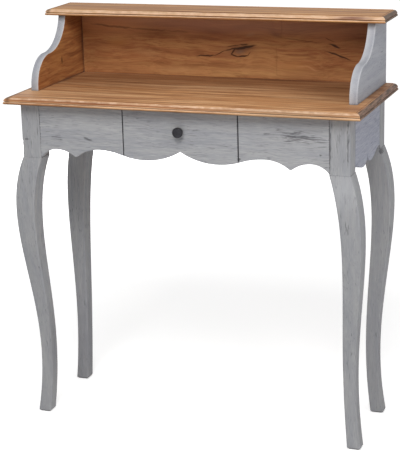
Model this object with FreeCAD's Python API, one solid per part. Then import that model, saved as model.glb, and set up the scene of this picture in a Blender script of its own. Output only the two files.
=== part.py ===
import FreeCAD, Part
import math
import os

# A small writing desk with a raised gallery (a bonheur du jour), in millimetres.
# X runs to the right, Y to the back and Z up; the origin is on the floor under the middle.

# Overall sizes
desk_width = 800.0
desk_depth = 340.0
total_height = 920.0
gallery_rise = 162.0

# Desktop and gallery shelf, two boards with the same edge moulding on three sides
top_thickness = 16.0
shelf_end_setback = 3.0
shelf_depth = 116.0
shelf_thickness = 14.5

# Edge moulding as shares of the board's thickness: a small ledge, a flattened quarter round
# with its height and reach, a groove below it and a half-round lip that stands proud of it
ledge_share = 0.05
round_share = 0.50
reach_share = 0.62
groove_share = 0.08
groove_depth_share = 0.13
proud_share = 0.06

# Gallery sides, scrolled in front, with a rebate for the back panel
gallery_end_setback = 28.0
gallery_side_thickness = 18.0
gallery_bottom_depth = 255.0
gallery_top_depth = 98.0
scroll_height = 74.0
scroll_foot = 7.0
scroll_edge_round = 2.0
gallery_back_thickness = 9.0
rebate_width = 9.0

# Stub tenons of the gallery sides
stub_thickness = 10.0
stub_length = 46.0
stub_depth = 10.0
stub_top_depth = 8.0
stub_places = (70.0, 205.0)
stub_top_place = 49.0

# Leg frame: the blocks at the top of the legs carry the aprons
side_overhang = 28.0
front_overhang = 28.0
back_inset = 10.0
block_width = 44.0
edge_round = 2.5
knee_ledge = 0.8
foot_chamfer = 3.0

# Cabriole curve, shares of the height under the block, with the leg's width there and
# how far its middle lies outward from the block's middle, to the side and to the front
knee_share = 0.875
calf_share = 0.55
ankle_share = 0.195
knee_width = 46.0
calf_width = 36.0
ankle_width = 28.0
foot_width = 30.0
knee_out = (19.0, 6.0)
calf_out = (19.0, -12.0)
ankle_out = (12.0, -29.0)
foot_out = (22.0, -23.0)

# Front apron in three: a fixed panel on each side of the drawer front. The arris round is
# the softened edge of every apron board, the point round that of the points hanging from it
panel_thickness = 19.0
panel_inset = 1.0
drawer_front_width = 260.0
drawer_front_thickness = 20.0
drawer_gap = 1.5
arris_round = 1.2
point_round = 6.0

# Scalloped lower edge of the front, from the middle out to the leg: places as shares of
# the half length between the legs, and depths under the desktop
lobe_share = 0.253
inner_arch_share = 0.576
cusp_share = 0.745
outer_arch_share = 0.881
notch_depth = 91.0
lobe_depth = 114.0
inner_arch_depth = 97.0
cusp_depth = 117.5
outer_arch_depth = 101.0
ear_depth = 121.0
block_drop = 1.0

# Side aprons with the front's middle notch and two lobes, and a plain back apron
side_apron_thickness = 18.0
side_apron_inset = 1.0
side_lobe_share = 0.28
side_notch_depth = 110.0
side_lobe_depth = 129.0
side_end_depth = 112.0
back_apron_thickness = 18.0
back_apron_inset = 4.0
back_apron_depth = 102.0

# Tenons of the aprons in the legs
tenon_thickness = 9.0
tenon_length = 18.0
tenon_top = 12.0
tenon_bottom = 81.0
mortise_end_clearance = 1.0

# Partitions on each side of the drawer, with its runners and kickers
partition_thickness = 18.0
partition_depth = 94.0
runner_width = 12.0
runner_setback = 1.0
runner_height = 14.0
kicker_height = 5.0

# Drawer box
drawer_side_thickness = 12.0
drawer_top_gap = 1.5
drawer_kicker_clearance = 1.0
drawer_front_tongue = 6.0
drawer_back_thickness = 12.0
drawer_back_setback = 8.0
drawer_back_drop = 8.0
drawer_back_tongue = 4.0
drawer_bottom_thickness = 5.0
drawer_bottom_rise = 8.0
drawer_groove_depth = 6.0
drawer_groove_clearance = 0.2
stop_width = 60.0
stop_height = 22.0
stop_thickness = 13.8
stop_clearance = 0.2

# Knob of the drawer: a rounded disc on a short neck, held by a screw from inside
knob_height_under_top = 46.5
knob_radius = 11.5
knob_projection = 16.0
knob_head_thickness = 8.0
knob_neck_radius = 5.5
knob_base_radius = 7.5
knob_base_thickness = 2.0
knob_rim_round = 3.0
screw_radius = 2.0
screw_head_radius = 4.5
screw_head_height = 2.6
screw_clearance = 0.3
knob_screw_bite = 10.0

# Corner blocks in the frame, and cleats with screws that hold the desktop
corner_leg = 40.0
corner_height = 50.0
corner_drop = 6.0
cleat_width = 20.0
cleat_height = 20.0
cleat_gap = 3.0
cleat_screw_end = 30.0
cleat_screw_bite = 11.0

# How far cutting solids run past what they cut, and how near counts as the same place
overrun = 5.0
touch = 0.01

# Levels and faces that follow from the sizes above
half_width = desk_width / 2
back_y = desk_depth / 2
writing_height = total_height - gallery_rise
shelf_width = desk_width - 2 * shelf_end_setback
gallery_width = desk_width - 2 * gallery_end_setback
top_under = writing_height - top_thickness
shelf_under = total_height - shelf_thickness
half_frame = half_width - side_overhang
frame_front = -back_y + front_overhang
frame_back = back_y - back_inset
frame_middle = (frame_front + frame_back) / 2
leg_inner_x = half_frame - block_width
leg_front_inner_y = frame_front + block_width
leg_back_inner_y = frame_back - block_width
block_bottom = top_under - ear_depth - block_drop
panel_front = frame_front + panel_inset
panel_back = panel_front + panel_thickness
side_apron_outer = half_frame - side_apron_inset
side_apron_inner = side_apron_outer - side_apron_thickness
back_apron_outer = frame_back - back_apron_inset
back_apron_inner = back_apron_outer - back_apron_thickness
half_drawer = drawer_front_width / 2
opening_x = half_drawer + drawer_gap
partition_under = top_under - partition_depth
runner_top = partition_under + runner_height
drawer_front_back = panel_front + drawer_front_thickness
runner_front = drawer_front_back + runner_setback
stop_front = back_apron_inner - stop_thickness
drawer_end = stop_front - stop_clearance
drawer_side_top = top_under - kicker_height - drawer_kicker_clearance
drawer_side_inner = half_drawer - drawer_side_thickness
drawer_bottom_under = runner_top + drawer_bottom_rise
drawer_bottom_top = drawer_bottom_under + drawer_bottom_thickness
knob_z = top_under - knob_height_under_top

nodes = {}


def point(x, y, z):
    return FreeCAD.Vector(x, y, z)


def block(x_low, x_high, y_low, y_high, z_low, z_high):
    """A square block between two corners."""
    return Part.makeBox(x_high - x_low, y_high - y_low, z_high - z_low, point(x_low, y_low, z_low))


def mirrored(shape):
    """The same piece for the left half of the desk."""
    return shape.mirror(point(0, 0, 0), point(1, 0, 0))


def crest_middle(crest, end):
    """Middle of the arc that is level at its crest and runs to its end, in a flat outline."""
    run = end[0] - crest[0]
    rise = end[1] - crest[1]
    radius = (run * run + rise * rise) / (2 * abs(rise))
    half_turn = math.atan2(abs(rise), abs(run))
    along = math.copysign(radius * math.sin(half_turn), run)
    up = math.copysign(radius * (1 - math.cos(half_turn)), rise)
    return (crest[0] + along, crest[1] + up)


def outline_edges(steps, place):
    """Edges of a flat outline. Each step is a corner, or a corner with the arc's middle before it."""
    edges = []
    last = place(*steps[0][0])
    for step in steps[1:]:
        end = place(*step[0])
        if len(step) == 1:
            edges.append(Part.makeLine(last, end))
        else:
            edges.append(Part.Arc(last, place(*step[1]), end).toShape())
        last = end
    return edges


def prism(steps, place, run):
    """A flat outline, closed and drawn out along one direction."""
    edges = outline_edges(steps + [steps[0][:1]], place)
    return Part.Face(Part.Wire(edges)).extrude(run)


def edge_moulding(thickness, upper):
    """Half outline of a moulded edge, (distance in from the edge, height), from the bottom up."""
    ledge = ledge_share * thickness
    rise = round_share * thickness
    reach = reach_share * thickness
    groove = groove_share * thickness
    proud = proud_share * thickness
    lip = thickness - ledge - rise - groove
    nose = lip / 2
    round_bottom = upper - ledge - rise
    lip_top = round_bottom - groove
    groove_end = proud + groove_depth_share * thickness
    turn = math.sqrt(0.5)
    round_in = proud + reach
    return [
        ((nose, upper - thickness),),
        ((nose, lip_top), (0.0, lip_top - nose)),
        ((groove_end, lip_top),),
        ((groove_end, round_bottom),),
        ((proud, round_bottom),),
        ((round_in, upper - ledge), (round_in - turn * reach, round_bottom + turn * rise)),
        ((round_in + ledge, upper - ledge),),
        ((round_in + ledge, upper),),
    ]


def placed(steps, edge, sign):
    """The half outline measured in from an edge, on one side of the board."""
    moved = []
    for step in steps:
        moved.append(tuple((edge - sign * spot[0], spot[1]) for spot in step))
    return moved


def reversed_steps(steps):
    """The same outline walked the other way."""
    turned = [(steps[-1][0],)]
    for number in range(len(steps) - 1, 0, -1):
        turned.append((steps[number - 1][0],) + steps[number][1:])
    return turned


def both_halves(half):
    """A half outline from the middle outward, with its mirror image walked before it."""
    other = reversed_steps([tuple((-spot[0], spot[1]) for spot in step) for step in half])
    return other + half[1:]


def moulded_board(width, front, rear, thickness, upper):
    """A board moulded at the front and both ends: two profiles drawn out and crossed."""
    half = width / 2
    moulding = edge_moulding(thickness, upper)
    right = placed(moulding, half, 1)
    left = reversed_steps(placed(moulding, -half, -1))
    across = prism(right + left, lambda x, z: point(x, front - overrun, z),
                   point(0, rear - front + 2 * overrun, 0))
    front_edge = reversed_steps(placed(moulding, front, -1))
    rear_edge = [((rear, upper - thickness),), ((rear, upper),)]
    along = prism(rear_edge + front_edge, lambda y, z: point(-half - overrun, y, z),
                  point(width + 2 * overrun, 0, 0))
    return across.common(along)


def gallery_side():
    """Right gallery side: scrolled front edge, rebate behind, stub tenons above and below."""
    outer = gallery_width / 2
    inner = outer - gallery_side_thickness
    low_front = back_y - gallery_bottom_depth
    high_front = back_y - gallery_top_depth
    turn = (low_front + scroll_height - scroll_foot, writing_height + scroll_height)
    foot = (low_front, writing_height + scroll_foot)
    head = (high_front, shelf_under)
    steps = [
        ((back_y, writing_height),),
        ((low_front, writing_height),),
        (foot,),
        (turn, crest_middle(turn, foot)),
        (head, crest_middle(turn, head)),
        ((back_y, shelf_under),),
    ]
    side = prism(steps, lambda y, z: point(inner, y, z), point(gallery_side_thickness, 0, 0))
    front_edges = [edge for edge in side.Edges if is_front_edge(edge, high_front)]
    side = side.makeFillet(scroll_edge_round, front_edges)
    rebate = block(inner - overrun, inner + rebate_width, back_y - gallery_back_thickness,
                   back_y + overrun, writing_height - overrun, shelf_under + overrun)
    side = side.cut(rebate)
    for stub in gallery_stubs(0.0):
        side = side.fuse(stub)
    return side.removeSplitter()


def is_front_edge(edge, rear):
    """Whether an edge of a gallery side runs along its scrolled front, on either face."""
    box = edge.BoundBox
    runs_up = box.XLength < scroll_edge_round / 2 and box.ZLength > scroll_edge_round
    return runs_up and box.YMax < rear + overrun


def gallery_stubs(clearance):
    """Stub tenons of the right gallery side; with a clearance, the mortises that take them."""
    middle = gallery_width / 2 - gallery_side_thickness / 2
    low_x = middle - stub_thickness / 2
    high_x = middle + stub_thickness / 2
    stubs = []
    for place in stub_places:
        y = back_y - place
        stubs.append(block(low_x, high_x, y - stub_length / 2, y + stub_length / 2,
                           writing_height - stub_depth - clearance, writing_height))
    y = back_y - stub_top_place
    stubs.append(block(low_x, high_x, y - stub_length / 2, y + stub_length / 2,
                       shelf_under, shelf_under + stub_top_depth + clearance))
    return stubs


def leg_section(x, y, width, z):
    """A square section with softened corners at one height of a leg."""
    half = width / 2
    flat = half - edge_round
    bend = edge_round * math.sqrt(0.5)
    edges = []
    for right, front in ((1, 1), (-1, 1), (-1, -1), (1, -1)):
        start = (half * right, flat * front) if right == front else (flat * right, half * front)
        end = (flat * right, half * front) if right == front else (half * right, flat * front)
        middle = ((flat + bend) * right, (flat + bend) * front)
        corner = [point(x + spot[0], y + spot[1], z) for spot in (start, middle, end)]
        if edges:
            edges.append(Part.makeLine(edges[-1].Vertexes[-1].Point, corner[0]))
        edges.append(Part.Arc(*corner).toShape())
    edges.append(Part.makeLine(edges[-1].Vertexes[-1].Point, edges[0].Vertexes[0].Point))
    return Part.Wire(edges)


def leg(side, depth):
    """One cabriole leg: side is 1 on the right, depth is -1 in front and 1 at the back."""
    x = side * (half_frame - block_width / 2)
    y = frame_front + block_width / 2 if depth < 0 else frame_back - block_width / 2
    stations = (
        (1.0, block_width + 2 * knee_ledge, (0.0, 0.0)),
        (knee_share, knee_width, knee_out),
        (calf_share, calf_width, calf_out),
        (ankle_share, ankle_width, ankle_out),
        (0.0, foot_width, foot_out),
    )
    wires = []
    for share, width, out in stations:
        height = max(share * block_bottom, foot_chamfer)
        wires.append(leg_section(x + side * out[0], y + depth * out[1], width, height))
    curve = Part.makeLoft(wires, True, False)
    sole = leg_section(x + side * foot_out[0], y + depth * foot_out[1], foot_width - 2 * foot_chamfer, 0)
    foot = Part.makeLoft([wires[-1], sole], True, True)
    head_section = Part.Face(leg_section(x, y, block_width, block_bottom))
    head = head_section.extrude(point(0, 0, top_under - block_bottom))
    shape = head.fuse([curve, foot])
    for mortise in leg_tenons(side, depth, mortise_end_clearance):
        shape = shape.cut(mortise)
    return shape


def leg_tenons(side, depth, clearance):
    """Tenons that enter one leg, from the front or back and from the side; mortises with a clearance."""
    low = top_under - tenon_bottom
    high = top_under - tenon_top
    length = tenon_length + clearance
    if depth < 0:
        middle_y = (panel_front + panel_back) / 2
        face_y = leg_front_inner_y
    else:
        middle_y = (back_apron_inner + back_apron_outer) / 2
        face_y = leg_back_inner_y
    middle_x = side * (side_apron_inner + side_apron_outer) / 2
    face_x = side * leg_inner_x
    half = tenon_thickness / 2
    x_ends = sorted((face_x, face_x + side * length))
    y_ends = sorted((face_y, face_y + depth * length))
    return [
        block(x_ends[0], x_ends[1], middle_y - half, middle_y + half, low, high),
        block(middle_x - half, middle_x + half, y_ends[0], y_ends[1], low, high),
    ]


def rounded_points(board, middles):
    """A scalloped board with its hanging points rounded off; each point's edge by its middle."""
    edges = []
    for middle in middles:
        edges += [edge for edge in board.Edges if edge.CenterOfMass.distanceToPoint(middle) < touch]
    return board.makeFillet(point_round, edges)


def eased(board, is_open_edge):
    """A board with the open edges of its outer face softened."""
    edges = [edge for edge in board.Edges if is_open_edge(edge.BoundBox)]
    return board.makeFillet(arris_round, edges)


def is_open_front_edge(box):
    """Whether an edge lies on the front's face, other than against the desktop or a leg."""
    return box.YMax < panel_front + touch and box.XMin < leg_inner_x - touch and box.ZMin < top_under - touch


def is_open_side_edge(box):
    """Whether an edge lies on the side apron's face, along its scalloped lower edge."""
    return box.XMin > side_apron_outer - touch and box.YLength > touch and box.ZMin < top_under - touch


def scalloped_front(thickness):
    """The whole front apron from leg to leg, with its scalloped lower edge."""
    notch = (0.0, top_under - notch_depth)
    lobe = (lobe_share * leg_inner_x, top_under - lobe_depth)
    inner_arch = (inner_arch_share * leg_inner_x, top_under - inner_arch_depth)
    cusp = (cusp_share * leg_inner_x, top_under - cusp_depth)
    outer_arch = (outer_arch_share * leg_inner_x, top_under - outer_arch_depth)
    ear = (leg_inner_x, top_under - ear_depth)
    change = ((lobe[0] + inner_arch[0]) / 2, (lobe[1] + inner_arch[1]) / 2)
    half = [
        (notch,),
        (lobe, crest_middle(lobe, notch)),
        (change, crest_middle(lobe, change)),
        (inner_arch, crest_middle(inner_arch, change)),
        (cusp, crest_middle(inner_arch, cusp)),
        (outer_arch, crest_middle(outer_arch, cusp)),
        (ear, crest_middle(outer_arch, ear)),
        ((leg_inner_x, top_under),),
    ]
    board = prism(both_halves(half), lambda x, z: point(x, panel_front, z), point(0, thickness, 0))
    middle_y = panel_front + thickness / 2
    return rounded_points(board, [point(side * cusp[0], middle_y, cusp[1]) for side in (-1, 1)])


def front_panel():
    """Fixed panel of the front apron on the right, with its tenon."""
    whole = scalloped_front(panel_thickness)
    panel = whole.common(block(opening_x, leg_inner_x + overrun, panel_front - overrun, panel_back + overrun,
                               0, writing_height))
    panel = eased(panel, is_open_front_edge)
    return panel.fuse(leg_tenons(1, -1, 0.0)[0]).removeSplitter()


def side_apron():
    """Right side apron, with a lobe on each side of its middle notch, and a tenon at each end."""
    half_length = (leg_back_inner_y - leg_front_inner_y) / 2
    notch = (0.0, top_under - side_notch_depth)
    lobe = (side_lobe_share * half_length, top_under - side_lobe_depth)
    end = (half_length, top_under - side_end_depth)
    change = ((lobe[0] + end[0]) / 2, (lobe[1] + end[1]) / 2)
    half = [
        (notch,),
        (lobe, crest_middle(lobe, notch)),
        (change, crest_middle(lobe, change)),
        (end, crest_middle(end, change)),
        ((half_length, top_under),),
    ]
    apron = prism(both_halves(half), lambda y, z: point(side_apron_inner, frame_middle + y, z),
                  point(side_apron_thickness, 0, 0))
    apron = eased(apron, is_open_side_edge)
    for depth in (-1, 1):
        apron = apron.fuse(leg_tenons(1, depth, 0.0)[1])
    return apron.removeSplitter()


def back_apron():
    """Plain board between the back legs."""
    apron = block(-leg_inner_x, leg_inner_x, back_apron_inner, back_apron_outer,
                  top_under - back_apron_depth, top_under)
    for side in (-1, 1):
        apron = apron.fuse(leg_tenons(side, 1, 0.0)[0])
    return apron.removeSplitter()


def corner_block(depth):
    """Right corner block, notched around the leg, between two aprons."""
    high = top_under - corner_drop
    if depth < 0:
        face, leg_face, reach = panel_back, leg_front_inner_y, leg_front_inner_y + corner_leg
    else:
        face, leg_face, reach = back_apron_inner, leg_back_inner_y, leg_back_inner_y - corner_leg
    steps = [
        ((leg_inner_x - corner_leg, face),),
        ((leg_inner_x, face),),
        ((leg_inner_x, leg_face),),
        ((side_apron_inner, leg_face),),
        ((side_apron_inner, reach),),
    ]
    return prism(steps, lambda x, y: point(x, y, high - corner_height), point(0, 0, corner_height))


def cleat_ends():
    return (leg_front_inner_y + corner_leg + cleat_gap, leg_back_inner_y - corner_leg - cleat_gap)


def cleat_screw(y, clearance):
    """Countersunk screw from under the cleat up into the desktop; with a clearance, its hole."""
    x = side_apron_inner - cleat_width / 2
    low = top_under - cleat_height
    up = point(0, 0, 1)
    head = Part.makeCone(screw_head_radius + clearance, screw_radius + clearance, screw_head_height,
                         point(x, y, low), up)
    shank = Part.makeCylinder(screw_radius + clearance, cleat_height + cleat_screw_bite, point(x, y, low), up)
    return head.fuse(shank).removeSplitter()


def cleat():
    """Right cleat along the side apron, under the desktop."""
    ends = cleat_ends()
    shape = block(side_apron_inner - cleat_width, side_apron_inner, ends[0], ends[1],
                  top_under - cleat_height, top_under)
    for y in cleat_screw_places():
        shape = shape.cut(cleat_screw(y, screw_clearance))
    return shape


def cleat_screw_places():
    ends = cleat_ends()
    return (ends[0] + cleat_screw_end, ends[1] - cleat_screw_end)


def desktop():
    """Moulded board with mortises for the gallery and holes for the cleat screws."""
    shape = moulded_board(desk_width, -back_y, back_y, top_thickness, writing_height)
    cutters = gallery_stubs(mortise_end_clearance)[:-1]
    for y in cleat_screw_places():
        cutters.append(cleat_screw(y, screw_clearance).common(
            block(0, half_width, -back_y, back_y, top_under, top_under + cleat_screw_bite)))
    for cutter in cutters:
        shape = shape.cut(cutter).cut(mirrored(cutter))
    return shape


def gallery_shelf():
    """Moulded shelf with mortises for the upper stubs of the gallery sides."""
    shape = moulded_board(shelf_width, back_y - shelf_depth, back_y, shelf_thickness, total_height)
    mortise = gallery_stubs(mortise_end_clearance)[-1]
    return shape.cut(mortise).cut(mirrored(mortise))


def drawer_front():
    """Front of the drawer: the middle of the scalloped apron, grooved inside and drilled for the knob."""
    whole = scalloped_front(drawer_front_thickness)
    front = whole.common(block(-half_drawer, half_drawer, panel_front - overrun, drawer_front_back + overrun,
                               0, top_under - drawer_top_gap))
    front = eased(front, is_open_front_edge)
    for side in (drawer_side_tongue(), mirrored(drawer_side_tongue())):
        front = front.cut(side)
    front = front.cut(drawer_bottom_sheet(drawer_groove_clearance))
    hole = Part.makeCylinder(screw_radius + screw_clearance, drawer_front_thickness,
                             point(0, panel_front, knob_z), point(0, 1, 0))
    return front.cut(hole)


def drawer_side_tongue():
    """Tongue at the front end of the right drawer side, half as thick as the side."""
    return block(drawer_side_inner, drawer_side_inner + drawer_side_thickness / 2,
                 drawer_front_back - drawer_front_tongue, drawer_front_back, runner_top, drawer_side_top)


def drawer_bottom_sheet(clearance):
    """Bottom of the drawer, lying in its grooves; with a clearance above it, the grooves."""
    half = drawer_side_inner + drawer_groove_depth
    return block(-half, half, drawer_front_back - drawer_groove_depth, drawer_end,
                 drawer_bottom_under, drawer_bottom_top + clearance)


def drawer_back_board():
    """Back of the drawer, housed in the sides and standing on the bottom."""
    half = drawer_side_inner + drawer_back_tongue
    rear = drawer_end - drawer_back_setback
    return block(-half, half, rear - drawer_back_thickness, rear,
                 drawer_bottom_top, drawer_side_top - drawer_back_drop)


def drawer_side():
    """Right side of the drawer, grooved for the bottom and housed for the back."""
    side = block(drawer_side_inner, half_drawer, drawer_front_back, drawer_end, runner_top, drawer_side_top)
    side = side.fuse(drawer_side_tongue())
    side = side.cut(drawer_bottom_sheet(drawer_groove_clearance))
    return side.cut(drawer_back_board()).removeSplitter()


def knob():
    """Turned knob: base, neck and a flat disc with a rounded rim, bored for its screw."""
    rim = knob_projection
    under = rim - knob_head_thickness
    bend = knob_rim_round * (1 - math.sqrt(0.5))
    steps = [
        ((0.0, 0.0),),
        ((knob_base_radius, 0.0),),
        ((knob_base_radius, knob_base_thickness),),
        ((knob_neck_radius, knob_base_thickness),),
        ((knob_neck_radius, under),),
        ((knob_radius - knob_rim_round, under),),
        ((knob_radius, under + knob_rim_round), (knob_radius - bend, under + bend)),
        ((knob_radius, rim - knob_rim_round),),
        ((knob_radius - knob_rim_round, rim), (knob_radius - bend, rim - bend)),
        ((0.0, rim),),
    ]
    edges = outline_edges(steps + [steps[0]], lambda r, out: point(r, panel_front - out, knob_z))
    turned = Part.Face(Part.Wire(edges)).revolve(point(0, 0, knob_z), point(0, 1, 0), 360)
    bore = Part.makeCylinder(screw_radius + screw_clearance, knob_screw_bite,
                             point(0, panel_front, knob_z), point(0, -1, 0))
    return turned.cut(bore)


def knob_screw():
    """Screw through the drawer front into the knob, its head on the inside."""
    away = point(0, 1, 0)
    shank = Part.makeCylinder(screw_radius, knob_screw_bite + drawer_front_thickness,
                              point(0, panel_front - knob_screw_bite, knob_z), away)
    head = Part.makeCylinder(screw_head_radius, screw_head_height, point(0, drawer_front_back, knob_z), away)
    return shank.fuse(head).removeSplitter()


def pair(name, shape):
    """The right piece and its mirror image on the left."""
    nodes[name + "_right"] = shape
    nodes[name + "_left"] = mirrored(shape)


nodes["desktop"] = desktop()
nodes["gallery_shelf"] = gallery_shelf()
pair("gallery_side", gallery_side())
back_half = gallery_width / 2 - gallery_side_thickness + rebate_width
nodes["gallery_back"] = block(-back_half, back_half, back_y - gallery_back_thickness, back_y,
                              writing_height, shelf_under)

for depth_name, depth in (("front", -1), ("back", 1)):
    nodes["leg_" + depth_name + "_right"] = leg(1, depth)
    nodes["leg_" + depth_name + "_left"] = leg(-1, depth)
    pair("corner_block_" + depth_name, corner_block(depth))

pair("apron_front", front_panel())
pair("apron_side", side_apron())
nodes["apron_back"] = back_apron()
pair("drawer_partition", block(opening_x, opening_x + partition_thickness, panel_back, back_apron_inner,
                               partition_under, top_under))
pair("drawer_runner", block(opening_x - runner_width, opening_x, runner_front, back_apron_inner,
                            partition_under, runner_top))
pair("drawer_kicker", block(opening_x - runner_width, opening_x, runner_front, back_apron_inner,
                            top_under - kicker_height, top_under))
nodes["drawer_stop"] = block(-stop_width / 2, stop_width / 2, stop_front, back_apron_inner,
                             drawer_bottom_top - stop_height, drawer_bottom_top)
pair("desktop_cleat", cleat())
for number, place in enumerate(cleat_screw_places()):
    pair("cleat_screw_" + ("front", "back")[number], cleat_screw(place, 0.0))

nodes["drawer_front"] = drawer_front()
pair("drawer_side", drawer_side())
nodes["drawer_back"] = drawer_back_board()
nodes["drawer_bottom"] = drawer_bottom_sheet(0.0)
nodes["drawer_knob"] = knob()
nodes["drawer_knob_screw"] = knob_screw()

os.makedirs("parts", exist_ok=True)
for name, shape in nodes.items():
    shape.exportStep("parts/" + name + ".step")
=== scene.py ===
import bpy
import math
from mathutils import Matrix, Vector


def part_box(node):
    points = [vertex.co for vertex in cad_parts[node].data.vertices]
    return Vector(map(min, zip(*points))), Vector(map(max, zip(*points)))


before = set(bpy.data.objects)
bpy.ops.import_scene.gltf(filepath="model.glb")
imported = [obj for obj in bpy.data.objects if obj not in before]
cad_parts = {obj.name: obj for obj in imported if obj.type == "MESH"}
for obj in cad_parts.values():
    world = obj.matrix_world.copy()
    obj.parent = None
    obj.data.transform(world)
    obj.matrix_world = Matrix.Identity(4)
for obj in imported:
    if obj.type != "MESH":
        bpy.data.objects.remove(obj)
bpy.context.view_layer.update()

# The frame is in metres; finishes are written in millimetres
mm = 0.001

# Faces where the paint stops and bare or waxed wood begins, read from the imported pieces
gallery_inner_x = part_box("gallery_side_right")[0].x
gallery_back_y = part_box("gallery_back")[0].y
panel_inner_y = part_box("drawer_partition_right")[0].y
drawer_inner_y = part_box("drawer_front")[1].y
side_inner_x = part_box("desktop_cleat_right")[1].x
back_inner_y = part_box("drawer_runner_right")[1].y

# In millimetres below: a size is the length along the grain and the width of a pattern, a wander is how
# far apart and how wide the grain sways, a reach is how far dirt and painted shade gather from a corner, and
# a rim is how wide an arris is rubbed pale. A span is where a pattern starts and stops to show, and its
# shares there.

# Arrises: softened by this radius, and found by how far the softened face turns from the true one
arris_radius = 0.8
arris_span = (0.99, 0.80, 0.0, 1.0)
clear_span = (0.5, 0.95, 0.0, 1.0)
lower_span = (0.1, 0.4, 0.0, 1.0)

# Planed wood. Fibres are a tenth of a millimetre wide and pores 0.3 mm; both are drawn wider to show
fibre_size = (80.0, 2.2)
pore_size = (14.0, 0.9)
band_stops = (0.30, 0.50, 0.70)
ruddy_span = (0.42, 0.66, 0.0, 0.50)
dark_streak_span = (0.32, 0.47, 0.65, 0.0)
light_streak_span = (0.52, 0.70, 0.0, 0.50)
dark_fibre_span = (0.32, 0.48, 0.62, 0.0)
light_fibre_span = (0.54, 0.72, 0.0, 0.42)
pore_span = (0.62, 0.74, 0.0, 0.35)
pore_tone = "#3d2413"
planed_depth = 0.12

# Waxed wood: moulding flecks rubbed pale with a painted highlight, sawn ends, painted shade under lower
# arrises, and wax and painted shade in the grooves
wax_reach = 6.0
wax_rim = 1.5
fleck_size = (15.0, 7.0)
fleck_span = (0.38, 0.66)
fleck_and_highlight_tone = "#e2bfa0"
sawn_wander = (90.0, 4.0)
sawn_size = (36.0, 5.0)
sawn_stops = (0.40, 0.60)
sawn_span = (0.06, 0.32, 0.0, 0.9)
waxed_arris = (0.0, 1.0, 0.0, 0.20)
waxed_arris_tone = "#d2a47c"
waxed_lower_shade = (0.0, 1.0, 0.0, 0.35)
waxed_lower_shade_tone = "#5f3c25"
wax_and_shade_span = (0.65, 0.25, 0.0, 0.40)
wax_and_shade_tone = "#3a2112"
crack_wander = (16.0, 5.0)
crack_reach = 0.65
crack_depth = 20.0
crack_span = (0.02, 0.45)
crack_tone = "#2d170c"
waxed_rough = (0.2, 0.8, 0.60, 0.45)

# Chalk paint. Grain under it is a millimetre wide; drawn 2 mm wide to show
paint_wander = (30.0, 4.0)
brush_size = (150.0, 12.0)
brush_stops = (0.3, 0.7)
grain_size = (28.0, 2.0)
sunk_span = (0.30, 0.46)
sunk_share = 0.50
sunk_tone = "#7b7b80"
raised_span = (0.54, 0.72)
raised_share = 0.45
raised_tone = "#b3b2b4"
dash_size = (24.0, 1.9)
thin_size = (120.0, 60.0)
thin_span = (0.35, 0.70, 0.0, 0.10)
worn_span = (0.68, 0.84, 0.0, 0.75)
worn_tone = "#4b4a4e"
paint_reach = 9.0
# Painted shade under the lower arrises
painted_lower_shade = (0.0, 1.0, 0.0, 0.8)
painted_lower_shade_tone = "#58575b"
wiped_band = (3.0, 12.0)
bare_limit = (0.9, 0.3)
# Dust and painted shade in the seams and corners
dust_and_shade_span = (0.80, 0.30, 0.0, 0.85)
dust_and_shade_tone = "#3b3a3d"
paint_rough = (0.3, 0.7, 0.85, 0.70)
paint_depth = 0.22

# Bare wood: dirt and painted shade in the corners, and pale arrises
bare_reach = 12.0
bare_rim = 1.5
bare_dirt_and_shade = (0.8, 0.2, 0.0, 0.5)
bare_dirt_and_shade_tone = "#4a3220"
bare_arris = (0.0, 1.0, 0.0, 0.2)
bare_arris_tone = "#e0c39c"
bare_rough = (0.2, 0.8, 0.82, 0.70)

# Cast iron. Sand grit of the casting is 0.4 mm; drawn 1.2 mm
grit_size = 1.2
grit_depth = 0.08
iron_cloud = 7.0
iron_stops = ((0.35, "#201f23"), (0.70, "#302f34"))
iron_reach = 4.0
iron_rim = 1.5
iron_arris = (0.0, 1.0, 0.0, 0.35)
iron_arris_tone = "#626065"
iron_rough = (0.3, 0.7, 0.34, 0.46)

# Plated steel. Crystals of the plating are a tenth of a millimetre; drawn 2 mm
crystal_size = 2.0
zinc_stops = ((0.3, "#a19d92"), (0.7, "#c2beb4"))
zinc_rough = (0.3, 0.7, 0.28, 0.42)


def linear(colour):
    """An sRGB hex colour as linear red, green, blue and alpha."""
    shares = [int(colour[place:place + 2], 16) / 255 for place in (1, 3, 5)]
    return [s / 12.92 if s <= 0.04045 else ((s + 0.055) / 1.055) ** 2.4 for s in shares] + [1.0]


def add(tree, kind, *values, out=0, stops=(), named=None, **settings):
    """Adds a node with its settings, values and links, and gives one of its outputs."""
    made = tree.nodes.new("ShaderNode" + kind)
    for name, value in settings.items():
        setattr(made, name, value)
    for number, (spot, colour) in enumerate(stops):
        ramp = made.color_ramp.elements
        stop = ramp[number] if number < 2 else ramp.new(spot)
        stop.position = spot
        stop.color = linear(colour)
    for name, value in list(enumerate(values)) + list((named or {}).items()):
        if isinstance(value, bpy.types.NodeSocket):
            tree.links.new(value, made.inputs[name])
        else:
            made.inputs[name].default_value = value
    return made.outputs[out] if made.outputs else None


def new_material(name):
    """An empty node material and its tree."""
    made = bpy.data.materials.new(name)
    made.use_nodes = True
    made.node_tree.nodes.clear()
    return made, made.node_tree


def wavy(tree, space, curl, reach):
    """Coordinates pushed about by a slow noise, so that straight lines wander: a wander in millimetres."""
    noise = add(tree, "TexNoise", space, out="Color", named={"Scale": 1 / (curl * mm), "Detail": 1.0})
    shift = add(tree, "VectorMath", noise, (0.5, 0.5, 0.5), operation="SUBTRACT")
    push = add(tree, "VectorMath", shift, operation="SCALE", named={"Scale": reach * mm})
    return add(tree, "VectorMath", space, push, operation="ADD")


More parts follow.
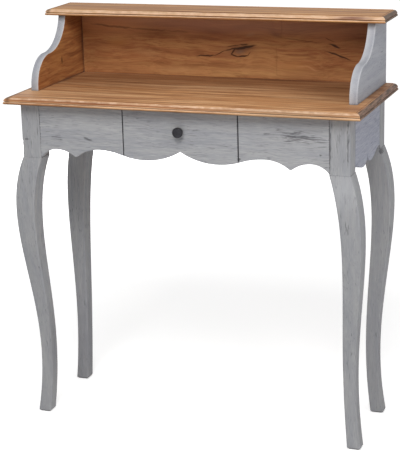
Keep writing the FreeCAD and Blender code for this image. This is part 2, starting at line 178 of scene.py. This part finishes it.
def grain_space(tree, along, wander):
    """The piece's own coordinates with the wandering grain along the first axis."""
    own = add(tree, "TexCoord", out="Object")
    turn = {"x": (0.0, 0.0, 0.0), "y": (0.0, 0.0, -math.pi / 2), "z": (0.0, math.pi / 2, 0.0)}[along]
    return wavy(tree, add(tree, "Mapping", own, named={"Rotation": turn}), *wander)


def streaks(tree, space, size, seed, detail=3.0):
    """Noise drawn out along the grain: its size in millimetres, and a seed, so that no two line up."""
    length, width = [side * mm for side in size]
    scale = (1 / length, 1 / width, 1 / width)
    laid = add(tree, "Mapping", space, (seed, seed, seed), named={"Scale": scale})
    return add(tree, "TexNoise", laid, out="Fac", named={"Scale": 1.0, "Detail": detail})


def toned(tree, colour, pattern, span, tone):
    """A colour with another tone where a pattern shows."""
    share = add(tree, "MapRange", pattern, *span)
    return add(tree, "MixRGB", share, colour, linear(tone))


def oval(tree, space, middle, half, tilt):
    """A soft oval, 1 in its middle: place and half sizes in millimetres, turned as seen from the front."""
    placed = add(tree, "Mapping", space, [place * mm for place in middle], (0.0, -math.radians(tilt), 0.0),
                 [size * mm for size in half], vector_type="TEXTURE")
    far = add(tree, "VectorMath", placed, out="Value", operation="LENGTH")
    return add(tree, "MapRange", far, 0.0, 1.0, 1.0, 0.0, interpolation_type="SMOOTHSTEP")


def blotched(tree, space, colour, fields, blend="MIX"):
    """A colour with soft fields of other tones: middle, half sizes, turn in degrees, strength and tone."""
    for middle, half, tilt, share, tone in fields:
        mask = add(tree, "Math", oval(tree, space, middle, half, tilt), share, operation="MULTIPLY")
        colour = add(tree, "MixRGB", mask, colour, linear(tone), blend_type=blend)
    return colour


def corners(tree, reach, rim):
    """How much of the room around a point is open, how near an arris is, and how near a lower one is."""
    open_share = add(tree, "AmbientOcclusion", out="AO", samples=8, named={"Distance": reach * mm})
    soft = add(tree, "Bevel", rim * mm, samples=4)
    true = add(tree, "NewGeometry", out="Normal")
    bend = add(tree, "VectorMath", soft, true, out="Value", operation="DOT_PRODUCT")
    near = add(tree, "MapRange", bend, *arris_span)
    clear = add(tree, "MapRange", open_share, *clear_span)
    arris = add(tree, "Math", near, clear, operation="MULTIPLY")
    down = add(tree, "VectorMath", soft, (0.0, 0.0, -1.0), out="Value", operation="DOT_PRODUCT")
    lower = add(tree, "Math", arris, add(tree, "MapRange", down, *lower_span), operation="MULTIPLY")
    return open_share, arris, lower


def wood_layer(tree, along, tones, figure, seed):
    """Colour and height of planed wood: wandering bands, ruddy fields, streaks, fibres and pores.

    The tones go from dark to light, with the ruddy one last. The figure is the wander of the grain, and
    the length and width of its bands, in millimetres.
    """
    dark, middle, light, ruddy = tones
    curl, reach, length, width = figure
    space = grain_space(tree, along, (curl, reach))
    band = streaks(tree, space, (length, width), seed)
    colour = add(tree, "ValToRGB", band, stops=zip(band_stops, (dark, middle, light)))
    field = streaks(tree, space, (1.5 * length, 4 * width), seed + 3.1, 2.0)
    colour = toned(tree, colour, field, ruddy_span, ruddy)
    streak = streaks(tree, space, (0.45 * length, 0.35 * width), seed + 5.3)
    colour = toned(tree, colour, streak, dark_streak_span, dark)
    colour = toned(tree, colour, streak, light_streak_span, light)
    fibre = streaks(tree, space, fibre_size, seed + 7.7)
    colour = toned(tree, colour, fibre, dark_fibre_span, dark)
    colour = toned(tree, colour, fibre, light_fibre_span, light)
    sunk = add(tree, "MapRange", streaks(tree, space, pore_size, seed + 11.3, 2.0), *pore_span)
    colour = add(tree, "MixRGB", sunk, colour, linear(pore_tone))
    return colour, add(tree, "Math", fibre, sunk, operation="SUBTRACT")


def surface(tree, colour, height, rough_span, depth):
    """A finished wood surface: softened arrises, bump of one depth, smoother where it is high, no metal."""
    soft = add(tree, "Bevel", arris_radius * mm, samples=4)
    bumped = add(tree, "Bump", named={
        "Height": height, "Strength": 1.0, "Distance": depth * mm, "Normal": soft})
    rough = add(tree, "MapRange", height, *rough_span)
    shader = add(tree, "BsdfPrincipled", named={
        "Base Color": colour, "Roughness": rough, "IOR": 1.5, "Specular IOR Level": 0.2, "Normal": bumped})
    add(tree, "OutputMaterial", shader)


def waxed_wood(name, tones, figure, seed, rub_and_highlight, ends, patches=(), cracks=(), painted_shadows=()):
    """Planed and waxed hardwood: warm streaked grain, a dull sheen, wax and painted shade darkening the
    grooves, and a painted highlight on the moulding.
    """
    made, tree = new_material(name)
    colour, height = wood_layer(tree, "x", tones, figure, seed)
    own = add(tree, "TexCoord", out="Object")
    facing = add(tree, "TexCoord", out="Normal")
    open_share, arris, lower = corners(tree, wax_reach, wax_rim)
    # Rounded edges are rubbed pale in flecks 5 to 15 mm long, and their upward slopes carry a painted
    # highlight
    least, most, lean, spread = rub_and_highlight
    upward = add(tree, "VectorMath", facing, (0.0, 0.0, 1.0), out="Value", operation="DOT_PRODUCT")
    slope = add(tree, "Math", upward, lean, spread, operation="COMPARE")
    fleck = add(tree, "MapRange", streaks(tree, own, fleck_size, seed + 23.0), *fleck_span, least, most)
    rubbed_and_highlit = add(tree, "Math", slope, fleck, operation="MULTIPLY")
    colour = add(tree, "MixRGB", rubbed_and_highlit, colour, linear(fleck_and_highlight_tone))
    # Painted shadow, multiplied in so the grain shows through
    colour = blotched(tree, own, colour, painted_shadows, "MULTIPLY")
    colour = blotched(tree, own, colour, patches)
    # Sawn ends drink more wax, so they are darker and greyer
    sideways = add(tree, "VectorMath", facing, (1.0, 0.0, 0.0), out="Value", operation="DOT_PRODUCT")
    end = add(tree, "MapRange", add(tree, "Math", sideways, operation="ABSOLUTE"), *sawn_span)
    sawn = streaks(tree, grain_space(tree, "y", sawn_wander), sawn_size, seed + 17.0)
    sawn_tone = add(tree, "ValToRGB", sawn, stops=zip(sawn_stops, ends))
    colour = add(tree, "MixRGB", end, colour, sawn_tone)
    colour = toned(tree, colour, arris, waxed_arris, waxed_arris_tone)
    # Painted shade under the lower arrises, and wax and painted shade gathered in the corners
    colour = toned(tree, colour, lower, waxed_lower_shade, waxed_lower_shade_tone)
    colour = toned(tree, colour, open_share, wax_and_shade_span, wax_and_shade_tone)
    bent = wavy(tree, own, *crack_wander)
    for (start_x, start_z), (end_x, end_z), half_width, share in cracks:
        middle = ((start_x + end_x) / 2, gallery_back_y / mm, (start_z + end_z) / 2)
        length = math.hypot(end_x - start_x, end_z - start_z)
        half = (length * crack_reach + half_width, crack_depth, half_width)
        tilt = math.degrees(math.atan2(end_z - start_z, end_x - start_x))
        split = add(tree, "MapRange", oval(tree, bent, middle, half, tilt), *crack_span, 0.0, share)
        colour = add(tree, "MixRGB", split, colour, linear(crack_tone))
        height = add(tree, "Math", height, split, operation="SUBTRACT")
    surface(tree, colour, height, waxed_rough, planed_depth)
    return made


def paint_layer(tree, along, coats, marks):
    """Colour and height of chalk paint: brush streaks, grain showing through, and rubbed dashes."""
    dark, light, grainy = coats
    space = grain_space(tree, along, paint_wander)
    own = add(tree, "TexCoord", out="Object")
    brushed = streaks(tree, space, brush_size, 2.3)
    colour = add(tree, "ValToRGB", brushed, stops=zip(brush_stops, (dark, light)))
    grain = streaks(tree, space, grain_size, 5.9)
    colour = toned(tree, colour, grain, (*sunk_span, sunk_share * grainy, 0.0), sunk_tone)
    colour = toned(tree, colour, grain, (*raised_span, 0.0, raised_share * grainy), raised_tone)
    # The paint is rubbed through in dashes, more where it is thin and at the worn places
    dash = streaks(tree, space, dash_size, 9.4, 2.0)
    level = add(tree, "MapRange", streaks(tree, space, thin_size, 14.2, 2.0), *thin_span)
    for middle, half, tilt, share in marks:
        mark = add(tree, "Math", oval(tree, own, middle, half, tilt), share, operation="MULTIPLY")
        level = add(tree, "Math", level, mark, operation="ADD")
    worn = add(tree, "MapRange", add(tree, "Math", dash, level, operation="ADD"), *worn_span)
    colour = add(tree, "MixRGB", worn, colour, linear(worn_tone))
    return colour, add(tree, "Math", grain, worn, operation="SUBTRACT")


def painted_wood(name, along, coats, edge_rub_and_highlight, marks=(), inner=None, fields=()):
    """Wood under grey chalk paint, brushed on and rubbed back: matt, streaked, with dust and painted shade
    in the seams, arrises rubbed pale with a painted highlight, and painted shade under the lower ones.

    An inner face, no further from the middle than a level along an axis, is left as wood: the axis, the
    level, the wood's grain, tones, figure and fields, and how far the paint beside it is wiped pale.
    """
    made, tree = new_material(name)
    own = add(tree, "TexCoord", out="Object")
    colour, height = paint_layer(tree, along, coats, marks)
    # Fields of painted light and shade, given for the legs
    colour = blotched(tree, own, colour, fields)
    edge_tone, edge_share, rim = edge_rub_and_highlight
    open_share, arris, lower = corners(tree, paint_reach, rim)
    # Arrises rubbed pale with a painted highlight, and painted shade under the lower ones
    colour = toned(tree, colour, arris, (0.0, 1.0, 0.0, edge_share), edge_tone)
    colour = toned(tree, colour, lower, painted_lower_shade, painted_lower_shade_tone)
    if inner:
        axis, level, grain, tones, figure, patches, wiped = inner
        wood = wood_layer(tree, grain, tones, figure, 21.0)[0]
        wood = blotched(tree, own, wood, patches)
        place = add(tree, "VectorMath", own, axis, out="Value", operation="DOT_PRODUCT")
        away = add(tree, "Math", place, operation="ABSOLUTE")
        past = add(tree, "Math", away, abs(level), operation="SUBTRACT")
        # Paint near the bare face was wiped thin along with it
        near, far = [side * mm for side in wiped_band]
        colour = toned(tree, colour, past, (near, far, wiped, 0.0), edge_tone)
        painted, unpainted = [side * mm for side in bare_limit]
        bare = add(tree, "MapRange", past, painted, unpainted, 0.0, 1.0)
        colour = add(tree, "MixRGB", bare, colour, wood)
    # Dust and painted shade in the seams and corners
    colour = toned(tree, colour, open_share, dust_and_shade_span, dust_and_shade_tone)
    surface(tree, colour, height, paint_rough, paint_depth)
    return made


def bare_wood(name, along, tones, seed):
    """Planed wood without a finish: pale, dry and matt, as on the hidden pieces of a frame."""
    made, tree = new_material(name)
    colour, height = wood_layer(tree, along, tones, plain_figure, seed)
    open_share, arris = corners(tree, bare_reach, bare_rim)[:2]
    # Dirt and painted shade in the corners
    colour = toned(tree, colour, open_share, bare_dirt_and_shade, bare_dirt_and_shade_tone)
    colour = toned(tree, colour, arris, bare_arris, bare_arris_tone)
    surface(tree, colour, height, bare_rough, planed_depth)
    return made


def blackened_iron(name):
    """Cast iron, blackened and waxed: near black, with a soft uneven sheen and a rubbed rim."""
    made, tree = new_material(name)
    own = add(tree, "TexCoord", out="Object")
    grit = add(tree, "TexNoise", own, out="Fac", named={"Scale": 1 / (grit_size * mm), "Detail": 3.0})
    cloud = add(tree, "TexNoise", own, out="Fac", named={"Scale": 1 / (iron_cloud * mm), "Detail": 2.0})
    colour = add(tree, "ValToRGB", cloud, stops=iron_stops)
    arris = corners(tree, iron_reach, iron_rim)[1]
    colour = toned(tree, colour, arris, iron_arris, iron_arris_tone)
    rough = add(tree, "MapRange", grit, *iron_rough)
    bumped = add(tree, "Bump", named={"Height": grit, "Strength": 0.6, "Distance": grit_depth * mm})
    shader = add(tree, "BsdfPrincipled", named={
        "Base Color": colour, "Roughness": rough, "Metallic": 0.6, "Normal": bumped})
    add(tree, "OutputMaterial", shader)
    return made


def plated_steel(name):
    """Zinc-plated steel of the screws: grey metal with a faint yellow cast and an uneven shine."""
    made, tree = new_material(name)
    own = add(tree, "TexCoord", out="Object")
    cloud = add(tree, "TexNoise", own, out="Fac", named={"Scale": 1 / (crystal_size * mm), "Detail": 3.0})
    colour = add(tree, "ValToRGB", cloud, stops=zinc_stops)
    rough = add(tree, "MapRange", cloud, *zinc_rough)
    shader = add(tree, "BsdfPrincipled", named={"Base Color": colour, "Roughness": rough, "Metallic": 1.0})
    add(tree, "OutputMaterial", shader)
    return made


# Wood tones: dark, middle, light and ruddy
honey_tones = ("#805332", "#c89366", "#edc294", "#c38a58")
shelf_tones = ("#6f4526", "#b17d4c", "#d2a470", "#ab743f")
chestnut_tones = ("#80502f", "#a56d45", "#b78654", "#a0633c")
golden_tones = ("#7c4b2a", "#9f673c", "#b37e4b", "#94592f")
bare_tones = ("#93693f", "#bd9265", "#d2ad80", "#b98c5c")
ply_tones = ("#a9835a", "#c9a679", "#d8bb92", "#c4a070")

# Figures: how far apart and how wide the grain sways, and the length and width of its bands
desktop_figure = (300.0, 14.0, 420.0, 22.0)
shelf_figure = (300.0, 14.0, 420.0, 18.0)
back_figure = (170.0, 46.0, 300.0, 18.0)
scroll_figure = (140.0, 24.0, 200.0, 13.0)
plain_figure = (200.0, 8.0, 220.0, 9.0)

# Rubbed moulding with its painted highlight: least and most, and the upward share of the faces it lies on,
# with its spread
desktop_rub_and_highlight = (0.30, 0.95, 0.73, 0.20)
shelf_rub_and_highlight = (0.52, 0.86, 0.60, 0.36)
back_rub_and_highlight = (0.0, 0.3, 0.73, 0.20)

# Sawn ends, dark and light; the gallery back takes the desktop's
desktop_ends = ("#2d1f17", "#75594a")
shelf_ends = ("#1f1510", "#4d3a30")

# Paint coats, dark and light, and how much grain shows through; the side and gallery coats are bluer, and
# the gallery's paler, as painted cool light from the right
front_coats = ("#949599", "#a1a1a2", 1.0)
leg_coats = ("#8f9094", "#9c9c9d", 0.6)
side_coats_with_painted_cool_light = ("#9093a0", "#9ea0ac", 1.0)
gallery_coats_with_painted_cool_light = ("#989aa2", "#a6a7ad", 0.45)

# Rubbed arrises, pale from wear and partly a painted highlight: tone, strength and width in millimetres
leg_edge_rub_and_highlight = ("#bbb9b8", 0.30, 1.5)
gallery_edge_rub_and_highlight = ("#dcdcda", 0.75, 4.5)

# Worn places of the paint, and on the legs one painted shadow: middle, half sizes, turn in degrees and
# strength
front_marks = (
    ((264.0, -141.0, 696.0), (92.0, 12.0, 22.0), -6.0, 0.24),
    ((-214.0, -141.0, 668.0), (24.0, 12.0, 5.0), -19.0, 0.30),
    ((-285.0, -141.0, 668.0), (22.0, 12.0, 8.0), 0.0, 0.14),
    ((36.0, -141.0, 700.0), (20.0, 12.0, 9.0), 0.0, 0.14),
    ((112.0, -141.0, 667.0), (22.0, 12.0, 13.0), 0.0, 0.18),
    ((309.0, -141.0, 661.0), (5.0, 12.0, 5.0), 0.0, 0.30),
    ((-130.0, -141.0, 690.0), (2.8, 12.0, 110.0), 0.0, 0.60),
    ((130.0, -141.0, 690.0), (2.8, 12.0, 110.0), 0.0, 0.60),
    ((132.0, -141.0, 643.0), (5.0, 12.0, 5.0), 0.0, 0.70),
    ((-328.0, -141.0, 690.0), (2.4, 12.0, 110.0), 0.0, 0.35),
    ((328.0, -141.0, 690.0), (2.4, 12.0, 110.0), 0.0, 0.38),
)
leg_marks = (
    ((-360.0, -142.0, 661.0), (12.0, 12.0, 4.0), 0.0, 0.30),
    ((364.0, -140.0, 574.0), (11.0, 60.0, 20.0), 0.0, 0.18),
    ((367.0, -130.0, 508.0), (10.0, 60.0, 30.0), 0.0, 0.24),
    ((390.0, 124.0, 425.0), (60.0, 10.0, 36.0), 0.0, 0.24),
    ((331.0, -142.0, 685.0), (4.5, 12.0, 76.0), 0.0, 0.22),
    ((367.0, -142.0, 690.0), (4.5, 12.0, 76.0), 0.0, 0.38),
    # Painted shadow in the notch where the right side apron meets the back leg
    ((377.0, 112.0, 616.0), (10.0, 40.0, 12.0), 0.0, 0.60),
    ((-333.0, -142.0, 690.0), (5.0, 12.0, 60.0), 0.0, 0.18),
    ((372.0, -100.0, 690.0), (12.0, 4.0, 110.0), 0.0, 0.55),
    ((-372.0, -100.0, 690.0), (12.0, 4.0, 110.0), 0.0, 0.55),
)

# Painted light and shade on the legs: darker on the back legs, which the desk shades, and on the right faces
# of the front ones near the floor, and a painted highlight on the front right knee
leg_painted_light = (
    ((-368.0, 110.0, 110.0), (80.0, 80.0, 250.0), 0.0, 0.38, "#69676e"),
    ((356.0, -150.0, 590.0), (60.0, 40.0, 62.0), 0.0, 0.42, "#b4b5b8"),
    ((383.0, -95.0, 160.0), (12.0, 50.0, 220.0), 0.0, 0.45, "#66656a"),
    ((-345.0, -95.0, 160.0), (12.0, 50.0, 220.0), 0.0, 0.35, "#66656a"),
    ((365.0, 112.0, 150.0), (80.0, 80.0, 240.0), 0.0, 0.22, "#69676e"),
)

# Painted shadow on the desktop, which the grain shows through: the shelf's shadow along the foot of the
# gallery, the right gallery side's shade at the right, and a darker field at the left
desktop_painted_shadows = (
    ((40.0, 150.0, 758.0), (1300.0, 228.0, 40.0), 0.0, 0.80, "#8e776b"),
    ((340.0, 0.0, 758.0), (200.0, 215.0, 40.0), 0.0, 0.42, "#8e8582"),
    ((-300.0, -40.0, 758.0), (320.0, 220.0, 40.0), 0.0, 0.30, "#ab9c94"),
)

# Fields of the desktop: painted shadow beside the gallery sides, dark at its left end, painted shade and a
# painted highlight in the lines of its edge, and a worn grey patch
desktop_fields_with_painted_light = (
    # Painted shadow where the gallery sides stand on the desktop
    ((-363.0, 62.0, 758.0), (26.0, 118.0, 20.0), 0.0, 0.80, "#452918"),
    ((363.0, 62.0, 758.0), (26.0, 118.0, 20.0), 0.0, 0.80, "#452918"),
    # Painted shade on the lower half of the lip
    ((0.0, -170.0, 741.5), (1500.0, 14.0, 6.0), 0.0, 0.90, "#4f3a2c"),
    ((-390.0, 0.0, 758.0), (10.0, 900.0, 24.0), 0.0, 0.85, "#4d3626"),
    # Painted shade in the groove of the edge at left, then a dark line behind the edge
    ((-200.0, -169.0, 752.6), (420.0, 14.0, 3.2), 0.0, 0.75, "#7d4322"),
    ((-265.0, -151.0, 758.0), (140.0, 9.0, 8.0), 0.0, 0.60, "#5a3a24"),
    # Painted shade in the groove at the middle and right, then a painted highlight along the top of the lip
    ((140.0, -169.0, 751.5), (700.0, 14.0, 2.8), 0.0, 0.40, "#85583a"),
    ((-60.0, -169.0, 748.6), (700.0, 14.0, 2.8), 0.0, 0.60, "#deb796"),
    ((245.0, -168.0, 750.0), (230.0, 18.0, 13.0), 0.0, 0.40, "#8f7d65"),
)

# Fields of the shelf: dark at its left end, darker in the groove of its edge, mauve near its right end
shelf_patches = (
    ((220.0, 54.0, 911.5), (420.0, 14.0, 2.4), 0.0, 0.45, "#8a5630"),
    ((-389.0, 112.0, 920.0), (9.0, 400.0, 16.0), 0.0, 0.80, "#4d3626"),
    ((328.0, 54.0, 916.0), (62.0, 14.0, 5.5), 0.0, 0.95, "#70463b"),
    ((306.0, 54.0, 913.0), (50.0, 14.0, 2.4), 0.0, 0.80, "#6b3c2b"),
    ((352.0, 54.0, 911.0), (30.0, 14.0, 2.6), 0.0, 0.70, "#7a4a3a"),
)

# Fields of the gallery back, each with its tone: the board's own figure, and painted light and shade
back_fields_with_painted_light = (
    ((-230.0, 161.0, 890.0), (170.0, 40.0, 16.0), -3.0, 0.45, "#b28a6a"),
    ((-20.0, 161.0, 868.0), (190.0, 40.0, 36.0), -3.0, 0.40, "#a4674a"),
    ((28.0, 161.0, 820.0), (76.0, 40.0, 22.0), 10.0, 0.50, "#7a4a33"),
    ((122.0, 161.0, 858.0), (26.0, 40.0, 9.0), -20.0, 0.50, "#5f3b28"),
    ((62.0, 161.0, 858.0), (18.0, 40.0, 6.0), 20.0, 0.40, "#b08a68"),
    ((42.0, 161.0, 825.0), (44.0, 40.0, 15.0), 8.0, 0.55, "#553626"),
    ((-42.0, 161.0, 868.0), (52.0, 40.0, 10.0), -5.0, 0.22, "#5c3826"),
    ((37.0, 161.0, 873.0), (38.0, 40.0, 8.0), 0.0, 0.30, "#5c3826"),
    ((-265.0, 161.0, 830.0), (40.0, 40.0, 14.0), 0.0, 0.45, "#a8703a"),
    ((-190.0, 161.0, 808.0), (50.0, 40.0, 16.0), -8.0, 0.35, "#bb8a5c"),
    ((168.0, 161.0, 789.0), (60.0, 40.0, 18.0), 4.0, 0.40, "#b07a45"),
    ((-111.0, 161.0, 771.0), (80.0, 40.0, 9.0), 0.0, 0.40, "#c08e60"),
    # The fields only 5 mm deep, from here on, are painted light and shade on the front face: light on the
    # lower part and lifting the shelf's shadow along the top, and shade beside the gallery sides
    ((0.0, 161.0, 772.0), (700.0, 5.0, 20.0), 0.0, 0.30, "#c2925e"),
    ((319.0, 161.0, 852.0), (54.0, 5.0, 44.0), 0.0, 0.22, "#6b4630"),
    ((36.0, 161.0, 817.0), (20.0, 40.0, 7.0), 8.0, 0.60, "#7b614e"),
    ((0.0, 161.0, 882.0), (640.0, 5.0, 34.0), -1.0, 0.46, "#dcab90"),
    ((-280.0, 161.0, 870.0), (160.0, 5.0, 38.0), 0.0, 0.55, "#eaa874"),
    ((-110.0, 161.0, 858.0), (70.0, 5.0, 18.0), 0.0, 0.35, "#d89a6a"),
    ((250.0, 161.0, 856.0), (80.0, 5.0, 24.0), 0.0, 0.30, "#d89a6a"),
    ((110.0, 161.0, 789.0), (130.0, 5.0, 13.0), 0.0, 0.28, "#d09a62"),
    ((-335.0, 161.0, 795.0), (62.0, 5.0, 54.0), 0.0, 0.34, "#6b4226"),
    ((183.0, 161.0, 789.0), (26.0, 40.0, 4.0), 6.0, 0.26, "#cf9a6c"),
    ((204.0, 161.0, 785.0), (24.0, 40.0, 4.0), -26.0, 0.30, "#cf9a6c"),
    ((190.0, 161.0, 796.0), (26.0, 40.0, 3.6), 2.0, 0.24, "#7a4829"),
    ((214.0, 161.0, 789.0), (24.0, 40.0, 3.6), -30.0, 0.28, "#7a4829"),
    ((196.0, 161.0, 802.0), (30.0, 40.0, 3.6), -2.0, 0.24, "#c48e5e"),
    ((224.0, 161.0, 793.0), (24.0, 40.0, 3.6), -32.0, 0.26, "#c48e5e"),
)

# Fields and a small knot on the inner face of the left gallery side
side_patches = (
    ((-354.0, 150.0, 830.0), (20.0, 30.0, 100.0), 0.0, 0.45, "#6b3d20"),
    ((-354.0, 157.0, 830.0), (20.0, 12.0, 110.0), 0.0, 0.65, "#43220f"),
    ((-354.0, 20.0, 815.0), (20.0, 70.0, 44.0), 0.0, 0.30, "#ad7640"),
    ((-354.0, 42.0, 806.0), (20.0, 5.0, 14.0), 0.0, 0.95, "#361d0c"),
)

# Drying cracks and the ring of a knot in the gallery back: two ends, half width and strength
back_cracks = (
    ((-73.0, 805.0), (-25.0, 807.0), 2.3, 0.88),
    ((-25.0, 807.0), (0.0, 820.0), 1.8, 0.78),
    ((0.0, 820.0), (28.0, 826.0), 2.1, 0.83),
    ((22.0, 823.0), (72.0, 833.0), 4.6, 0.90),
    ((3.0, 828.0), (34.0, 833.0), 1.7, 0.73),
    ((36.0, 834.0), (54.0, 835.0), 2.3, 0.83),
    ((24.0, 823.0), (15.0, 811.0), 2.8, 0.83),
    ((15.0, 811.0), (30.0, 806.0), 2.6, 0.83),
    ((30.0, 806.0), (54.0, 809.0), 2.6, 0.88),
    ((54.0, 809.0), (60.0, 818.0), 1.5, 0.63),
    ((247.0, 840.0), (269.0, 834.0), 3.4, 0.88),
    ((238.0, 825.0), (295.0, 807.0), 2.8, 0.88),
    ((235.0, 854.0), (258.0, 846.0), 1.5, 0.53),
    ((-330.0, 872.0), (-224.0, 864.0), 3.4, 0.45),
    ((-224.0, 864.0), (-141.0, 861.0), 3.6, 0.40),
    ((-141.0, 861.0), (-88.0, 859.0), 3.0, 0.25),
    ((138.0, 852.0), (219.0, 843.0), 2.2, 0.35),
    ((123.0, 832.0), (122.0, 764.0), 2.8, 0.13),
    ((135.0, 890.0), (134.0, 852.0), 2.8, 0.13),
)

# Inner faces left as wood: axis and level, grain, tones, figure, fields, and how far the paint is wiped
across = (1.0, 0.0, 0.0)
depthwise = (0.0, 1.0, 0.0)
bare_panel = (depthwise, panel_inner_y, "x", bare_tones, plain_figure, (), 0.0)
bare_drawer = (depthwise, drawer_inner_y, "x", bare_tones, plain_figure, (), 0.0)
bare_side = (across, side_inner_x, "y", bare_tones, plain_figure, (), 0.0)
bare_back = (depthwise, back_inner_y, "x", bare_tones, plain_figure, (), 0.0)
waxed_side = (across, gallery_inner_x, "y", golden_tones, scroll_figure, side_patches, 0.25)

finishes = {
    "desktop": waxed_wood("waxed_hardwood_desktop", honey_tones, desktop_figure, 1.0, desktop_rub_and_highlight,
                          desktop_ends, desktop_fields_with_painted_light, painted_shadows=desktop_painted_shadows),
    "gallery_shelf": waxed_wood("waxed_hardwood_shelf", shelf_tones, shelf_figure, 4.0, shelf_rub_and_highlight,
                                shelf_ends, shelf_patches),
    "gallery_back": waxed_wood("waxed_hardwood_back", chestnut_tones, back_figure, 8.0, back_rub_and_highlight,
                               desktop_ends, back_fields_with_painted_light, back_cracks),
    "gallery_side": painted_wood("chalk_paint_gallery", "y", gallery_coats_with_painted_cool_light, gallery_edge_rub_and_highlight, (), waxed_side),
    "leg": painted_wood("chalk_paint_legs", "z", leg_coats, leg_edge_rub_and_highlight, leg_marks, fields=leg_painted_light),
    "apron_front": painted_wood("chalk_paint_front", "x", front_coats, leg_edge_rub_and_highlight, front_marks, bare_panel),
    "drawer_front": painted_wood("chalk_paint_drawer", "x", front_coats, leg_edge_rub_and_highlight, front_marks, bare_drawer),
    "apron_side": painted_wood("chalk_paint_sides", "y", side_coats_with_painted_cool_light, leg_edge_rub_and_highlight, (), bare_side),
    "apron_back": painted_wood("chalk_paint_back", "x", front_coats, leg_edge_rub_and_highlight, (), bare_back),
    "corner_block": bare_wood("bare_wood_blocks", "z", bare_tones, 2.0),
    "desktop_cleat": bare_wood("bare_wood_cleats", "y", bare_tones, 3.0),
    "drawer_back": bare_wood("bare_wood_drawer_back", "x", bare_tones, 6.0),
    "drawer_stop": bare_wood("bare_wood_stop", "x", bare_tones, 7.0),
    "drawer_bottom": bare_wood("birch_ply_bottom", "x", ply_tones, 9.0),
    "drawer_knob": blackened_iron("blackened_cast_iron"),
    "drawer_": bare_wood("bare_wood_runners", "y", bare_tones, 5.0),
}
screw_finish = plated_steel("zinc_plated_steel")


def finish_of(node):
    """The finish whose name the node's name starts with, the longest first."""
    if "screw" in node:
        return screw_finish
    starts = [start for start in finishes if node.startswith(start)]
    return finishes[max(starts, key=len)]


for node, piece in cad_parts.items():
    piece.data.materials.clear()
    piece.data.materials.append(finish_of(node))


def shown_white(tree):
    """1 for what reaches the camera straight, off something glossy or through glass, otherwise 0."""
    straight = add(tree, "LightPath", out="Is Camera Ray")
    mirrored = add(tree, "LightPath", out="Is Glossy Ray")
    through = add(tree, "LightPath", out="Is Transmission Ray")
    either = add(tree, "Math", straight, mirrored, operation="MAXIMUM")
    return add(tree, "Math", either, through, operation="MAXIMUM")


# Floor, a hair below the feet, in metres
floor_side = 60.0
floor_drop = 0.5 * mm
bpy.ops.mesh.primitive_plane_add(size=floor_side, location=(0.0, 0.0, -floor_drop))
floor = bpy.context.object
floor.name = "floor"
floor_finish, tree = new_material("white_floor")
white = add(tree, "BsdfDiffuse", linear("#efefef"))
# The lamps light the floor near the desk only, so it glows more further away
glow_span = (0.6, 3.2, 0.50, 0.80)
away = add(tree, "VectorMath", add(tree, "TexCoord", out="Object"), out="Value", operation="LENGTH")
glow = add(tree, "Emission", linear("#ffffff"), add(tree, "MapRange", away, *glow_span))
lifted = add(tree, "AddShader", white, glow)
add(tree, "OutputMaterial", add(tree, "MixShader", shown_white(tree), white, lifted))
floor.data.materials.append(floor_finish)

# White surroundings: a plain even light, shown as white to the camera and in reflections
even_light = 0.31
surroundings = bpy.data.worlds.new("white_surroundings")
bpy.context.scene.world = surroundings
surroundings.use_nodes = True
tree = surroundings.node_tree
tree.nodes.clear()
strength = add(tree, "MapRange", shown_white(tree), 0.0, 1.0, even_light, 1.0)
add(tree, "OutputWorld", add(tree, "Background", linear("#ffffff"), strength))

# Soft boxes: where each stands and the point it faces, its side in metres and its power in watts
soft_boxes = {
    "front_soft_box": ((0.4, -2.3, 2.9), (0.0, 0.0, 0.5), 1.6, 71.0),
    "right_soft_box": ((2.8, -1.2, 1.7), (0.0, 0.0, 0.5), 1.6, 31.0),
    "back_soft_box": ((-1.6, 2.6, 0.42), (0.0, 0.0, 0.42), 0.9, 24.0),
}
for name, (place, aim, side, power) in soft_boxes.items():
    data = bpy.data.lights.new(name, "AREA")
    data.size = side
    data.energy = power
    lamp = bpy.data.objects.new(name, data)
    bpy.context.scene.collection.objects.link(lamp)
    lamp.location = place
    lamp.rotation_mode = "QUATERNION"
    lamp.rotation_quaternion = (Vector(aim) - Vector(place)).to_track_quat("-Z", "Y")

# Camera at the photograph's viewing angle
azimuth = math.radians(20.608)
elevation = math.radians(16.043)
roll = math.radians(-1.595)
distance = 3.32545
target = Vector((-0.01235, 0.0, 0.44644))
focal_pixels = 1477.48
picture_height = 453

back = Vector((math.sin(azimuth) * math.cos(elevation), -math.cos(azimuth) * math.cos(elevation),
               math.sin(elevation)))
level = Vector((math.cos(azimuth), math.sin(azimuth), 0.0))
upright = back.cross(level)
right = math.cos(roll) * level + math.sin(roll) * upright
up = math.cos(roll) * upright - math.sin(roll) * level
camera = bpy.data.objects.new("camera", bpy.data.cameras.new("camera"))
bpy.context.scene.collection.objects.link(camera)
turn = Matrix((right, up, back)).transposed().to_4x4()
camera.matrix_world = Matrix.Translation(target + back * distance) @ turn
# The picture is taller than wide, so the sensor's width spans its height
camera.data.lens = focal_pixels * camera.data.sensor_width / picture_height
bpy.context.scene.camera = camera
bpy.context.scene.view_settings.view_transform = "Standard"
